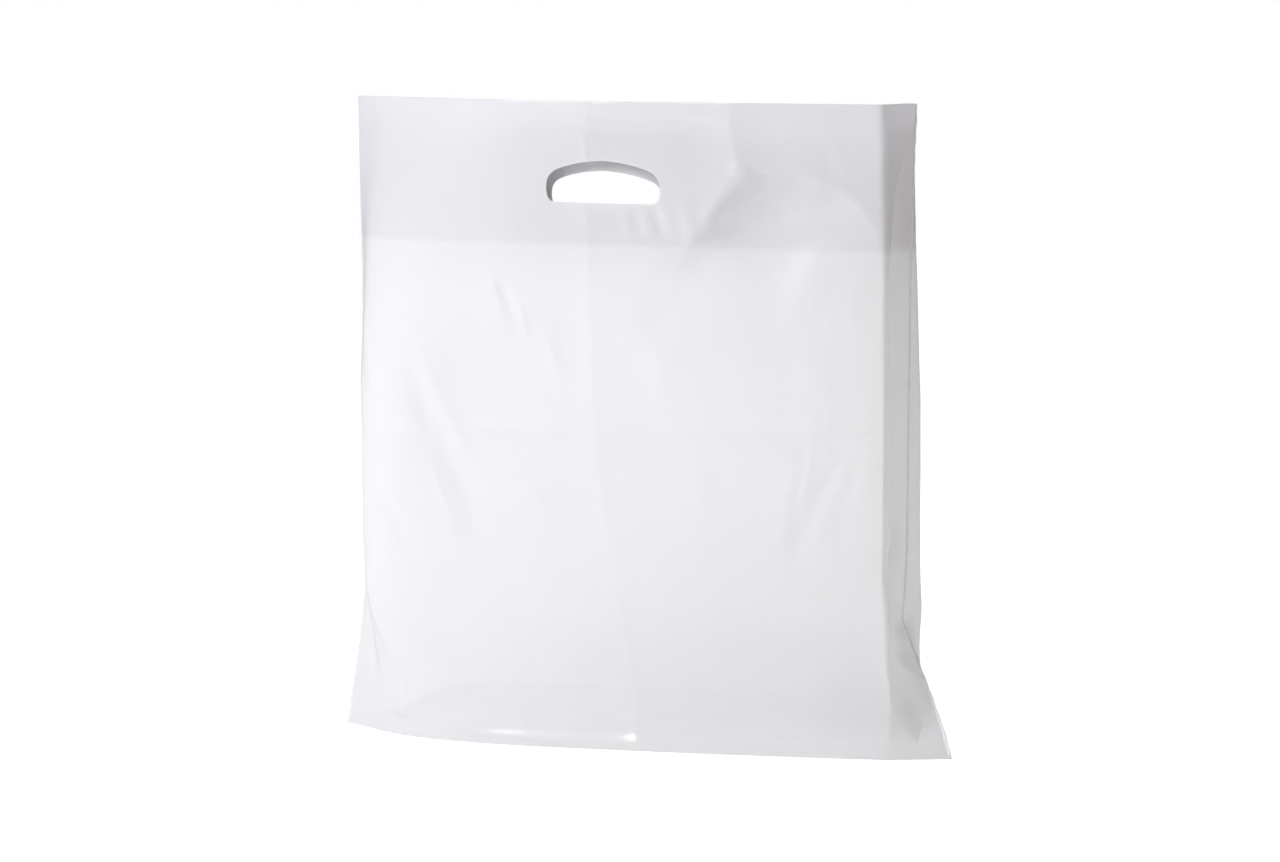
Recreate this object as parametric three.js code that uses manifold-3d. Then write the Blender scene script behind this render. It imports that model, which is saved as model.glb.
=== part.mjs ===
// Plastic carrier bag, standing open on its bottom gusset.
// The bag is one film: turned over at the mouth, folded in at the base and welded down both sides.
// A reinforcing patch backs the hand hole on each panel.
// Millimetres, +Z up, +X to the bag's right seen from the front, -Y towards the front.
// The origin is the middle of the base, on the surface that the bag stands on.

import * as THREE from 'three';
import { mergeVertices } from 'three/addons/utils/BufferGeometryUtils.js';
import Module from 'manifold-3d';

const wasm = await Module();
wasm.setup();

// Driving dimensions.
const WALL = 0.8; // stand-in thickness of one layer of film
const HEM_DEPTH = 110; // how far the turned-over top reaches down
const HEM_WALL = 2 * WALL; // the panel and the turned-over film lie together
const PATCH_WIDTH = 150;
const PATCH_HEIGHT = 80;
const PATCH_TOP = 21; // below the mouth edge
const PATCH_THICKNESS = 0.8;
const PATCH_GAP = 0.3; // clear of the hem film it is bonded to
const HOLE_WIDTH = 91;
const HOLE_HEIGHT = 32;
const HOLE_TOP = 44.5; // below the mouth edge
const HOLE_CENTRE_X = -15.5;
const HOLE_FLAT = 39; // half the nearly straight lower edge
const HOLE_WIDEST = 12; // the hole's ends are this far above its lower edge
const HOLE_END_TOP = 21; // where the ends turn over into the arched top
const HOLE_SHOULDER = new THREE.Vector2(37, 24.7); // from the middle, and above the lower edge
const HOLE_ARCH = new THREE.Vector2(22, 31); // the arched top bends towards this
const HOLE_STEPS = 6; // edges on each curve of the hole
const BACK_DROP = 9; // the leaning back panel's mouth edge is this much lower in the middle
const MOUTH_HEIGHT = 492;
const MOUTH_TILT = 3; // the left end of the mouth is higher than the right by this
const FULL_WIDTH = 480;
const STEPS_PER_SPAN = 5; // ring vertices between two neighbouring stations
const FAR_APART = 60; // levels farther apart than this get another between them
const LEAST_STEP = 1; // no two levels are nearer than this
const OVERRUN = 6; // how far a cutter passes what it cuts
const SHARPEST_MITRE = 0.25; // limits how far an inset reaches into a sharp corner
const BETWEEN_PANELS = -42; // Y of the plane between the two panels at the hand hole
const HOLE_CUT_LENGTH = 110;
const CUT_REACH = 140; // past the film, front and back
const LEFT_OF_PATCHES = -35; // Y between the two patches at their left ends
const BEHIND_HOLE = -45.5; // the same at the hand hole
const RIGHT_OF_PATCHES = -41; // the same at their right ends

// Plan outlines of the bag at rising heights. Each panel has seven stations from seam to seam:
// the seam, the soft corner, three on the face, the other soft corner and the other seam.
// The front panel stands nearly upright. The back panel leans forward until the mouth is almost shut.
const LEVELS = [
  {
    height: 0,
    front: [[-241, -4], [-184, -36], [-120, -47], [0, -42], [120, -30], [196, -20], [241, -4]],
    back: [[241, -4], [192, 32], [110, 45], [0, 48], [-110, 44], [-190, 30], [-241, -4]],
  },
  {
    height: 22,
    front: [[-238.5, -3], [-186, -38], [-120, -48], [0, -44], [120, -35], [200, -27], [235, -3]],
    back: [[235, -3], [195, 35], [110, 46], [0, 49], [-110, 45], [-191, 33], [-238.5, -3]],
  },
  {
    height: 60,
    front: [[-233, -1], [-190, -41], [-120, -48], [0, -46], [120, -42], [202, -37], [220, -1]],
    back: [[220, -1], [202, 40], [110, 47], [0, 49], [-110, 45], [-195, 37], [-233, -1]],
  },
  {
    height: 104,
    front: [[-228, 0], [-202, -43], [-120, -48], [0, -48], [120, -46], [198, -43], [202, 0]],
    back: [[202, 0], [207, 43], [110, 46], [0, 45], [-110, 42], [-204, 39], [-228, 0]],
  },
  {
    height: 150,
    front: [[-227, 0], [-210, -42], [-120, -47], [0, -48], [120, -47], [197, -44], [205, 0]],
    back: [[205, 0], [206, 43], [110, 42], [0, 37], [-110, 36], [-210, 38], [-227, 0]],
  },
  {
    height: 270,
    front: [[-228, 2], [-212, -38], [-120, -45], [0, -48], [120, -47], [197, -43], [205, 1]],
    back: [[205, 1], [204, 42], [110, 27], [0, 12], [-110, 16], [-212, 34], [-228, 2]],
  },
  {
    height: 390,
    front: [[-232, 10], [-208, -20], [-115, -42], [-10, -50], [115, -48], [194, -42], [205, 4]],
    back: [[205, 4], [202, 28], [112, -8], [-12, -34], [-110, -20], [-214, 22], [-232, 10]],
  },
  {
    height: MOUTH_HEIGHT,
    front: [[-238, 22], [-196, -6], [-110, -39], [-15, -52], [110, -50], [191, -40], [207, 8]],
    back: [[207, 8], [200, 21], [112, -20], [-15, -40], [-110, -25], [-204, 20], [-238, 22]],
  },
];
const SPANS = 6; // between a panel's seven stations

/** A station's plan position at a height, straight between the levels beside it. */
function stationAt(panel, station, height) {
  const above = Math.max(LEVELS.findIndex((level) => level.height >= height), 1);
  const upper = LEVELS[height > MOUTH_HEIGHT ? LEVELS.length - 1 : above];
  const lower = LEVELS[LEVELS.indexOf(upper) - 1];
  const share = THREE.MathUtils.clamp((height - lower.height) / (upper.height - lower.height), 0, 1);
  const [x, y] = lower[panel][station].map((low, axis) => THREE.MathUtils.lerp(low, upper[panel][station][axis], share));
  return new THREE.Vector3(x, y, height);
}

/** One panel's plan curve at a height, from seam to seam. */
function panelCurve(panel, height) {
  const stations = Array.from({ length: SPANS + 1 }, (_, station) => stationAt(panel, station, height));
  return new THREE.CatmullRomCurve3(stations, false, 'centripetal');
}

/** How far the film at a place is off its level: the mouth's tilt, and the leaning back panel's drop. */
function lift(panel, point) {
  const share = THREE.MathUtils.clamp(point.z / MOUTH_HEIGHT, 0, 1);
  const tilt = -MOUTH_TILT * (point.x / FULL_WIDTH);
  const across = Math.max(Math.cos((Math.PI * point.x) / FULL_WIDTH), 0);
  return share * (tilt - (panel === 'back' ? BACK_DROP * across : 0));
}

/** One closed plan outline: the front panel from left to right, then the back from right to left. w holds the lift. */
function outline(height) {
  const ring = [];
  for (const panel of ['front', 'back']) {
    const curve = panelCurve(panel, height);
    const steps = SPANS * STEPS_PER_SPAN;
    for (let step = 0; step < steps; step += 1) {
      const point = curve.getPoint(step / steps);
      ring.push(new THREE.Vector4(point.x, point.y, point.z, lift(panel, point)));
    }
  }
  return ring;
}

/** The outline moved inwards by a wall's thickness, measured square to the film. */
function inset(ring, distance) {
  return ring.map((point, index) => {
    const before = ring[(index + ring.length - 1) % ring.length];
    const after = ring[(index + 1) % ring.length];
    const incoming = new THREE.Vector2(point.x - before.x, point.y - before.y).normalize();
    const outgoing = new THREE.Vector2(after.x - point.x, after.y - point.y).normalize();
    const inwards = new THREE.Vector2(-incoming.y - outgoing.y, incoming.x + outgoing.x).normalize();
    const square = Math.max(inwards.dot(new THREE.Vector2(-incoming.y, incoming.x)), SHARPEST_MITRE);
    const reach = distance / square;
    return new THREE.Vector4(point.x + inwards.x * reach, point.y + inwards.y * reach, point.z, point.w);
  });
}

/** A closed solid through a stack of outlines, capped at both ends. */
function loft(rings) {
  const count = rings[0].length;
  const positions = rings.flat().flatMap((point) => [point.x, point.y, point.z + point.w]);
  const triangles = [];
  for (let level = 0; level + 1 < rings.length; level += 1) {
    for (let index = 0; index < count; index += 1) {
      const next = (index + 1) % count;
      const lower = level * count;
      const upper = lower + count;
      triangles.push(lower + index, lower + next, upper + next);
      triangles.push(lower + index, upper + next, upper + index);
    }
  }
  const last = (rings.length - 1) * count;
  for (const [a, b, c] of cap(rings[0])) triangles.push(a, c, b);
  for (const [a, b, c] of cap(rings[rings.length - 1])) triangles.push(last + a, last + b, last + c);
  return solid(new Float32Array(positions), new Uint32Array(triangles));
}

/** The triangles that close an outline, as seen from above. */
function cap(ring) {
  return THREE.ShapeUtils.triangulateShape(ring.map((point) => new THREE.Vector2(point.x, point.y)), []);
}

/** A manifold solid from vertices and triangles. */
function solid(vertProperties, triVerts) {
  return new wasm.Manifold(new wasm.Mesh({ numProp: 3, vertProperties, triVerts }));
}

/** A manifold solid from a three.js geometry. */
function solidOf(geometry) {
  const bare = geometry.clone();
  bare.deleteAttribute('normal');
  bare.deleteAttribute('uv');
  const merged = mergeVertices(bare, 1e-4);
  return solid(new Float32Array(merged.attributes.position.array), new Uint32Array(merged.index.array));
}

/** Heights from low to high: every level between two heights, and two more between far-apart levels. */
function heightsBetween(low, high) {
  const inner = [];
  LEVELS.forEach((level, index) => {
    inner.push(level.height);
    const next = LEVELS[index + 1];
    if (next && next.height - level.height > FAR_APART) inner.push((level.height + next.height) / 2);
  });
  const kept = inner.filter((height) => height > low + LEAST_STEP && height < high - LEAST_STEP);
  return [low, ...kept, high];
}

/** The space inside the bag between two heights, a wall's thickness in from the outline. */
function hollow(wall, low, high) {
  return loft(heightsBetween(low, high).map((height) => inset(outline(height), wall)));
}

/** A prism on a plan outline, between two heights. */
function prism(corners, bottom, top) {
  const shape = new THREE.Shape(corners.map(([x, y]) => new THREE.Vector2(x, y)));
  const geometry = new THREE.ExtrudeGeometry(shape, { depth: top - bottom, bevelEnabled: false });
  geometry.translate(0, 0, bottom);
  return solidOf(geometry);
}

/** The cutter for one panel's hand hole, flat below and arched above, running outwards from between the panels. */
function handHole(panel, mouthHeight) {
  const half = HOLE_WIDTH / 2;
  const bottom = mouthHeight - HOLE_TOP - HOLE_HEIGHT;
  const top = bottom + HOLE_HEIGHT;
  const edge = new THREE.Shape();
  edge.moveTo(-HOLE_FLAT, bottom);
  edge.lineTo(HOLE_FLAT, bottom);
  edge.quadraticCurveTo(half, bottom, half, bottom + HOLE_WIDEST);
  edge.quadraticCurveTo(half, bottom + HOLE_END_TOP, HOLE_SHOULDER.x, bottom + HOLE_SHOULDER.y);
  edge.quadraticCurveTo(HOLE_ARCH.x, bottom + HOLE_ARCH.y, 0, top);
  edge.quadraticCurveTo(-HOLE_ARCH.x, bottom + HOLE_ARCH.y, -HOLE_SHOULDER.x, bottom + HOLE_SHOULDER.y);
  edge.quadraticCurveTo(-half, bottom + HOLE_END_TOP, -half, bottom + HOLE_WIDEST);
  edge.quadraticCurveTo(-half, bottom, -HOLE_FLAT, bottom);
  const geometry = new THREE.ExtrudeGeometry(edge, {
    depth: HOLE_CUT_LENGTH,
    bevelEnabled: false,
    curveSegments: HOLE_STEPS,
  });
  geometry.rotateX(Math.PI / 2);
  geometry.translate(HOLE_CENTRE_X, BETWEEN_PANELS + (panel === 'back' ? HOLE_CUT_LENGTH : 0), 0);
  return solidOf(geometry);
}

/** A mesh with its name and material from a manifold solid. */
function meshOf(name, body, material) {
  const raw = body.getMesh();
  const geometry = new THREE.BufferGeometry();
  geometry.setAttribute('position', new THREE.BufferAttribute(raw.vertProperties, raw.numProp));
  geometry.setIndex(new THREE.BufferAttribute(raw.triVerts, 1));
  geometry.computeVertexNormals();
  const mesh = new THREE.Mesh(geometry, material);
  mesh.name = name;
  return mesh;
}

const film = new THREE.MeshStandardMaterial({ color: 0xf0f0f2, roughness: 0.28, metalness: 0 });
const patchFilm = new THREE.MeshStandardMaterial({ color: 0xe8e8ec, roughness: 0.32, metalness: 0 });

const hemEdge = MOUTH_HEIGHT - HEM_DEPTH;
const holes = {
  front: handHole('front', MOUTH_HEIGHT),
  back: handHole('back', MOUTH_HEIGHT - BACK_DROP),
};

/** The welded film: panels, gusset base and the turned-over top, with the hand hole through both panels. */
function bagBody() {
  const outside = loft(heightsBetween(0, MOUTH_HEIGHT).map((height) => outline(height)));
  const below = hollow(WALL, WALL, hemEdge + WALL);
  const above = loft([
    ...heightsBetween(hemEdge, MOUTH_HEIGHT).map((height) => inset(outline(height), HEM_WALL)),
    inset(outline(MOUTH_HEIGHT), HEM_WALL).map((point) => point.clone().setZ(MOUTH_HEIGHT + OVERRUN)),
  ]);
  return outside.subtract(below).subtract(above).subtract(holes.front).subtract(holes.back);
}

/** One reinforcing patch, bonded to the hem film behind a panel's hand hole. */
function handlePatch(panel) {
  const near = HEM_WALL + PATCH_GAP;
  const sheet = hollow(near, hemEdge, MOUTH_HEIGHT).subtract(
    hollow(near + PATCH_THICKNESS, hemEdge - OVERRUN, MOUTH_HEIGHT + OVERRUN),
  );
  const drop = panel === 'back' ? BACK_DROP : 0;
  const top = MOUTH_HEIGHT - PATCH_TOP - drop;
  const left = HOLE_CENTRE_X - PATCH_WIDTH / 2;
  const right = left + PATCH_WIDTH;
  const farSide = panel === 'front' ? -CUT_REACH : CUT_REACH;
  const footprint = [[left, farSide], [left, LEFT_OF_PATCHES], [HOLE_CENTRE_X, BEHIND_HOLE]];
  footprint.push([right, RIGHT_OF_PATCHES], [right, farSide]);
  return sheet.intersect(prism(footprint, top - PATCH_HEIGHT, top)).subtract(holes[panel]);
}

const bag = new THREE.Group();
bag.add(meshOf('bag_body', bagBody(), film));
bag.add(meshOf('front_handle_patch', handlePatch('front'), patchFilm));
bag.add(meshOf('back_handle_patch', handlePatch('back'), patchFilm));

export default bag;
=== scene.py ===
"""Plastic carrier bag: the finished film, patches and welds on the shared frame, with a plain studio.

The bag is one sheet of white film. It is turned over at the mouth, folded in at the base and welded down
both sides, and it stands open on its gusset. The film is unrolled as a grid, laid on the bag's plan outlines,
and then creased and dented as a handled bag is. Lengths named here are millimetres unless they say metres,
and the meshes are in metres.
"""

import logging
import math
from dataclasses import dataclass, field
from enum import Enum

import bmesh
import bpy
import numpy as np
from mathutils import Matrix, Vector, noise


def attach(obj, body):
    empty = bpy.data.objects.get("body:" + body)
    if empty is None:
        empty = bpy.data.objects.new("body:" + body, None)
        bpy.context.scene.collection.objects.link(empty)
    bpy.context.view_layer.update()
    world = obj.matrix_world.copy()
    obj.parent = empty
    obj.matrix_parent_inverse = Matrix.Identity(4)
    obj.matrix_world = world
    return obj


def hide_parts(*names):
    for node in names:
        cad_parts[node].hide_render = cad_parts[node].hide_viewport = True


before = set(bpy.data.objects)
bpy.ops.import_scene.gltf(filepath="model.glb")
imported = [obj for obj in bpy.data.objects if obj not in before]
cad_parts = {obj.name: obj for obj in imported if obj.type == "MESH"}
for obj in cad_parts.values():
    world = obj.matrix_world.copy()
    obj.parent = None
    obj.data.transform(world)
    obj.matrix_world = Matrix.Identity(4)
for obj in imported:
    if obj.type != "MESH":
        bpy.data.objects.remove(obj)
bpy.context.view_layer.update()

LOG = logging.getLogger("carrier_bag")
MM = 0.001
FLAT_SIZE = (0.5, 1.32)  # the film cut flat, in metres
FAR_AWAY = 1e9
TINY = 1e-9
LEAST_TAPER = 1e-6
NEARLY_PARALLEL = 1e-12


class Side(Enum):
    """The two panels of the bag."""

    FRONT = "front"
    BACK = "back"


class Form(Enum):
    """How the film rises beside a crease's line."""

    RIDGE = "a sharp line that falls away on both sides"
    SWELL = "a soft rounded line"
    HOLLOW = "a rounded edge with a wide hollow on its left side only"


# ----------------------------------------------------------------------------------------------------------
# Where the film lies
# ----------------------------------------------------------------------------------------------------------


@dataclass(frozen=True)
class PlanLevel:
    """The bag's plan outline at one height: seven stations along each panel, from the left seam to the right.

    The stations are the seam, the soft corner, three on the face, the other soft corner and the other seam.
    """

    height: float
    front: tuple[tuple[float, float], ...]
    back: tuple[tuple[float, float], ...]


@dataclass
class BagForm:
    """The standing bag's shape, and the place of any point of its film."""

    width: float = 500.0
    panel_height: float = 500.0
    gusset_half: float = 50.0
    mouth_height: float = 492.0
    mouth_tilt: float = 3.0
    back_drop: float = 9.0
    tip_to_tip: float = 480.0
    corner_sharpness: float = 0.7
    sharp_from_span: float = 4.0
    sharp_within_spans: float = 0.5
    lean_from: float = 150.0
    lean_over: float = 100.0
    levels: tuple[PlanLevel, ...] = (
        PlanLevel(
            0,
            ((-241, -4), (-184, -36), (-120, -47), (0, -42), (120, -30), (196, -20), (241, -4)),
            ((-241, -4), (-190, 30), (-110, 44), (0, 48), (110, 45), (192, 32), (241, -4)),
        ),
        PlanLevel(
            22,
            ((-238.5, -3), (-186, -38), (-120, -48), (0, -44), (120, -35), (200, -27), (235, -3)),
            ((-238.5, -3), (-191, 33), (-110, 45), (0, 49), (110, 46), (195, 35), (235, -3)),
        ),
        PlanLevel(
            60,
            ((-233, -1), (-190, -41), (-120, -48), (0, -46), (120, -42), (202, -37), (220, -1)),
            ((-233, -1), (-195, 37), (-110, 45), (0, 49), (110, 47), (202, 40), (220, -1)),
        ),
        PlanLevel(
            104,
            ((-228, 0), (-202, -43), (-120, -48), (0, -48), (120, -46), (198, -43), (202, 0)),
            ((-228, 0), (-204, 39), (-110, 42), (0, 45), (110, 46), (207, 43), (202, 0)),
        ),
        PlanLevel(
            150,
            ((-227, 0), (-210, -42), (-120, -47), (0, -48), (120, -47), (197, -44), (205, 0)),
            ((-227, 0), (-210, 38), (-110, 36), (0, 37), (110, 42), (206, 43), (205, 0)),
        ),
        PlanLevel(
            270,
            ((-228, 2), (-212, -38), (-120, -45), (0, -48), (120, -47), (197, -43), (205, 1)),
            ((-228, 2), (-212, 34), (-110, 16), (0, 12), (110, 27), (204, 42), (205, 1)),
        ),
        PlanLevel(
            390,
            ((-232, 10), (-208, -20), (-115, -42), (-10, -50), (115, -48), (194, -42), (205, 4)),
            ((-232, 10), (-214, 22), (-110, -20), (-12, -34), (112, -8), (202, 28), (205, 4)),
        ),
        PlanLevel(
            492,
            ((-238, 22), (-196, -6), (-110, -39), (-15, -52), (110, -50), (191, -40), (207, 8)),
            ((-238, 22), (-204, 20), (-110, -25), (-15, -40), (112, -20), (200, 21), (207, 8)),
        ),
    )

    def stations(self, side: Side, height: float) -> np.ndarray:
        """A panel's stations at a height, straight between the levels beside it.

        Args:
            side: The panel.
            height: The height above the floor.

        Returns:
            Seven plan points, left to right.
        """
        heights = [level.height for level in self.levels]
        above = min(max(int(np.searchsorted(heights, height)), 1), len(heights) - 1)
        lower, upper = self.levels[above - 1], self.levels[above]
        share = min(max((height - lower.height) / (upper.height - lower.height), 0.0), 1.0)
        low = np.array(getattr(lower, side.value), float)
        high = np.array(getattr(upper, side.value), float)
        return low * (1 - share) + high * share

    def row(self, side: Side, height: float, across: np.ndarray) -> np.ndarray:
        """One level line of a panel.

        Args:
            side: The panel.
            height: The line's height above the floor before its lift.
            across: Film distances from the middle, left negative.

        Returns:
            The line's points, one for each value of across.
        """
        curve = smooth_curve(self.stations(side, height))
        if side is Side.FRONT:
            curve = self.sharpened(curve, self.stations(side, height))
        steps = np.linalg.norm(np.diff(curve, axis=0), axis=1)
        along = np.concatenate([[0.0], np.cumsum(steps)])
        wanted = (across / self.width + 0.5) * along[-1]
        x = np.interp(wanted, along, curve[:, 0])
        y = np.interp(wanted, along, curve[:, 1])
        return np.stack([x, y, height + self.lift(side, x, height)], -1)

    def sharpened(self, curve: np.ndarray, stations: np.ndarray) -> np.ndarray:
        """The front panel's curve with its right corner drawn in towards a plain angle.

        Args:
            curve: The smooth curve, with the same number of points on every span.
            stations: The panel's stations.

        Returns:
            The changed curve.
        """
        spans = len(stations) - 1
        steps = (len(curve) - 1) // spans
        share = np.linspace(0, 1, steps, endpoint=False)[:, None]
        straight = [low * (1 - share) + high * share for low, high in zip(stations[:-1], stations[1:])]
        plain = np.vstack([*straight, stations[-1:]])
        past = np.arange(len(curve)) / steps - self.sharp_from_span
        weight = np.clip(past / self.sharp_within_spans, 0.0, 1.0)[:, None] * self.corner_sharpness
        return curve * (1 - weight) + plain * weight

    def lift(self, side: Side, x: np.ndarray, height: float) -> np.ndarray:
        """How far the film is off its level: the mouth's tilt, and the leaning back panel's drop.

        Args:
            side: The panel.
            x: Places from left to right.
            height: The level.

        Returns:
            The lift at each place.
        """
        share = height / self.mouth_height
        tilt = -self.mouth_tilt * x / self.tip_to_tip
        if side is Side.FRONT:
            return share * tilt
        middle = np.maximum(np.cos(np.pi * x / self.tip_to_tip), 0.0)
        return share * (tilt - self.back_drop * middle)

    def panel(self, side: Side, across: np.ndarray, up: np.ndarray) -> np.ndarray:
        """A panel's smooth surface.

        Args:
            side: The panel.
            across: Film distances from the middle.
            up: Film distances above the bottom fold.

        Returns:
            An array of rows of points.
        """
        scale = self.mouth_height / self.panel_height
        return np.stack([self.row(side, value * scale, across) for value in up])

    def seam(self, right: bool, height: float) -> np.ndarray:
        """The side seam's place at a height."""
        end = np.array([self.width / 2 if right else -self.width / 2])
        return self.row(Side.FRONT, height, end)[0]

    def gusset(self, across: np.ndarray, out: np.ndarray, side: Side) -> np.ndarray:
        """One half of the base film, from its bottom fold to its middle fold, which tents up inside the bag.

        Args:
            across: Film distances from the middle.
            out: Film distances from the middle fold towards the bottom fold.
            side: The panel that this half hangs from.

        Returns:
            An array of rows of points, one row for each value of out.
        """
        front = self.row(Side.FRONT, 0.0, across)
        back = self.row(Side.BACK, 0.0, across)
        middle = (front + back) / 2
        half_depth = np.linalg.norm(front - back, axis=1) / 2
        rise = np.sqrt(np.maximum(self.gusset_half**2 - half_depth**2, 0.0))
        ends = np.clip((np.abs(across) - self.lean_from) / self.lean_over, 0.0, 1.0) ** 2
        lean = np.array([self.seam(value > 0, high) for value, high in zip(across, rise)])
        foot = np.array([self.seam(value > 0, 0.0) for value in across])
        ridge = middle + (lean - foot) * ends[:, None]
        ridge[:, 2] = rise
        edge = front if side is Side.FRONT else back
        share = (out / self.gusset_half)[:, None, None]
        return ridge[None] * (1 - share) + edge[None] * share


def between(at: np.ndarray, low: float, high: float, start: np.ndarray, end: np.ndarray) -> np.ndarray:
    """Values on the way from start to end, as at goes from low to high.

    Args:
        at: Where the values are wanted.
        low: Where the value is start.
        high: Where the value is end.
        start: The first value, or one for each of at.
        end: The last value, or one for each of at.

    Returns:
        The values.
    """
    return ((high - at) * start + (at - low) * end) / (high - low)


def smooth_curve(points: np.ndarray, steps: int = 40) -> np.ndarray:
    """A centripetal spline through plan points.

    Args:
        points: The points that it passes, in order.
        steps: The number of points on each span.

    Returns:
        The curve's points.
    """
    ends = (2 * points[0] - points[1], 2 * points[-1] - points[-2])
    held = np.vstack([ends[0], points, ends[1]])
    curve = []
    for index in range(1, len(held) - 2):
        p = held[index - 1 : index + 3]
        t = np.concatenate([[0.0], np.cumsum(np.linalg.norm(np.diff(p, axis=0), axis=1) ** 0.5)])
        at = np.linspace(t[1], t[2], steps, endpoint=False)[:, None]
        first = [between(at, t[k], t[k + 1], p[k], p[k + 1]) for k in range(3)]
        second = [between(at, t[k], t[k + 2], first[k], first[k + 1]) for k in range(2)]
        curve.append(between(at, t[1], t[2], second[0], second[1]))
    return np.vstack([*curve, held[-2]])


# ----------------------------------------------------------------------------------------------------------
# Creases, dents and the film's fine waves
# ----------------------------------------------------------------------------------------------------------


@dataclass(frozen=True)
class Crease:
    """A line along which the film stands out or in. Its path is in film distances: across, and up the panel.

    The edge of a hollow is kept as it is close to its line, and smoothed beyond.
    """

    path: tuple[tuple[float, float], ...]
    height: float
    reach: float
    form: Form = Form.RIDGE
    taper: float = 0.25
    hollow_power: float = 1.5
    kept_within: float = 8.0
    smooth_after: float = 14.0
    smoothing_share: float = 5.0

    def rise(self, across: np.ndarray, up: np.ndarray) -> np.ndarray:
        """How far the film stands out of its smooth surface.

        Args:
            across: Film distances from the middle.
            up: Film distances above the bottom fold.

        Returns:
            The rise at each place, outwards positive.
        """
        path = np.array(self.path, float)
        lengths = np.linalg.norm(np.diff(path, axis=0), axis=1)
        total = lengths.sum()
        nearest = np.full(across.shape, FAR_AWAY)
        left = np.zeros(across.shape)
        place = np.zeros(across.shape)
        run = 0.0
        for start, end, length in zip(path[:-1], path[1:], lengths):
            direction = (end - start) / length
            dx, dy = across - start[0], up - start[1]
            along = np.clip(dx * direction[0] + dy * direction[1], 0.0, length)
            ox, oy = dx - along * direction[0], dy - along * direction[1]
            away = np.hypot(ox, oy)
            closer = away < nearest
            nearest = np.where(closer, away, nearest)
            left = np.where(closer, direction[0] * oy - direction[1] * ox, left)
            place = np.where(closer, (run + along) / total, place)
            run += length
        ends = np.minimum(place, 1 - place) / max(self.taper, LEAST_TAPER)
        ends = np.clip(ends, 0.0, 1.0)
        window = ends * ends * (3 - 2 * ends) if self.taper > 0 else 1.0
        away = nearest / self.reach
        if self.form is Form.RIDGE:
            shape = np.exp(-away)
        elif self.form is Form.SWELL:
            shape = np.exp(-(away**2))
        else:
            shape = np.where(left > 0, (away * np.exp(1 - away)) ** self.hollow_power, 0.0)
        rise = self.height * window * shape
        if self.form is Form.HOLLOW:
            soft = np.clip((nearest - self.kept_within) / self.smooth_after, 0.0, 1.0)
            smooth = softened(rise, across, up, self.reach / self.smoothing_share)
            rise = rise * (1 - soft) + smooth * soft
        return rise


def softened(rise: np.ndarray, across: np.ndarray, up: np.ndarray, spread: float) -> np.ndarray:
    """A field of rises with its sharp lines smoothed out.

    Args:
        rise: The rises, on an even grid.
        across: The grid's film distances from the middle.
        up: The grid's film distances above the bottom fold.
        spread: How far the smoothing reaches.

    Returns:
        The smoothed rises.
    """
    for axis, step in ((1, across[0, 1] - across[0, 0]), (0, up[1, 0] - up[0, 0])):
        reach = int(3 * spread / step) + 1
        weights = np.exp(-0.5 * (np.arange(-reach, reach + 1) * step / spread) ** 2)
        weights /= weights.sum()
        pads = [(reach, reach) if own == axis else (0, 0) for own in (0, 1)]
        padded = np.pad(rise, pads, mode="edge")
        rise = np.apply_along_axis(lambda line: np.convolve(line, weights, mode="valid"), axis, padded)
    return rise


@dataclass(frozen=True)
class Ripples:
    """A patch of small parallel waves in the film."""

    centre: tuple[float, float]
    spread: tuple[float, float]
    direction: float
    wavelength: float
    height: float
    bend: float = 0.0
    bend_length: float = 23.0
    bend_reach: float = 6.0

    def rise(self, across: np.ndarray, up: np.ndarray) -> np.ndarray:
        """How far the film stands out of its smooth surface.

        Args:
            across: Film distances from the middle.
            up: Film distances above the bottom fold.

        Returns:
            The rise at each place, outwards positive.
        """
        dx, dy = across - self.centre[0], up - self.centre[1]
        turn = math.radians(self.direction)
        along = dx * math.cos(turn) + dy * math.sin(turn)
        beside = -dx * math.sin(turn) + dy * math.cos(turn)
        window = np.exp(-((dx / self.spread[0]) ** 2) - (dy / self.spread[1]) ** 2)
        bent = self.bend * np.sin(beside / self.bend_length) * self.bend_reach
        phase = 2 * math.pi * (along + bent) / self.wavelength
        return self.height * window * np.sin(phase)


@dataclass(frozen=True)
class FilmWaves:
    """The gentle unevenness of thin film: long waves, and shorter ones."""

    long_height: float = 1.3
    long_size: float = 150.0
    short_height: float = 0.42
    short_size: float = 46.0
    upright_stretch: float = 1.5
    seed: float = 3.7
    short_seed_step: float = 11.0

    def rise(self, across: np.ndarray, up: np.ndarray) -> np.ndarray:
        """How far the film stands out of its smooth surface.

        Args:
            across: Film distances from the middle.
            up: Film distances above the bottom fold.

        Returns:
            The rise at each place, outwards positive.
        """
        result = np.zeros(across.shape)
        for height, size, offset in (
            (self.long_height, self.long_size, 0.0),
            (self.short_height, self.short_size, self.short_seed_step),
        ):
            places = zip(across.ravel() / size, up.ravel() / (self.upright_stretch * size))
            values = [noise.noise(Vector((x, y, self.seed + offset))) for x, y in places]
            result += height * np.array(values).reshape(across.shape)
        return result


@dataclass(frozen=True)
class BaseTuck:
    """Where the front panel leans in under itself above the base, and comes out again to the bottom fold."""

    upper_edge: tuple[tuple[float, float], ...] = (
        (-250, 0),
        (-188, 14),
        (-112, 64),
        (0, 94),
        (110, 104),
        (250, 96),
    )
    lean: float = 0.11
    lowest: float = 24.0
    softness: float = 9.0

    def rise(self, across: np.ndarray, up: np.ndarray) -> np.ndarray:
        """How far the film stands out of its smooth surface.

        Args:
            across: Film distances from the middle.
            up: Film distances above the bottom fold.

        Returns:
            The rise at each place, outwards positive.
        """
        edge = np.array(self.upper_edge)
        start = np.interp(across, edge[:, 0], edge[:, 1])
        below = np.logaddexp(0.0, (start - np.maximum(up, self.lowest)) / self.softness) * self.softness
        back = np.clip(up / self.lowest, 0.0, 1.0)
        return -self.lean * below * back * (2 - back)


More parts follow.
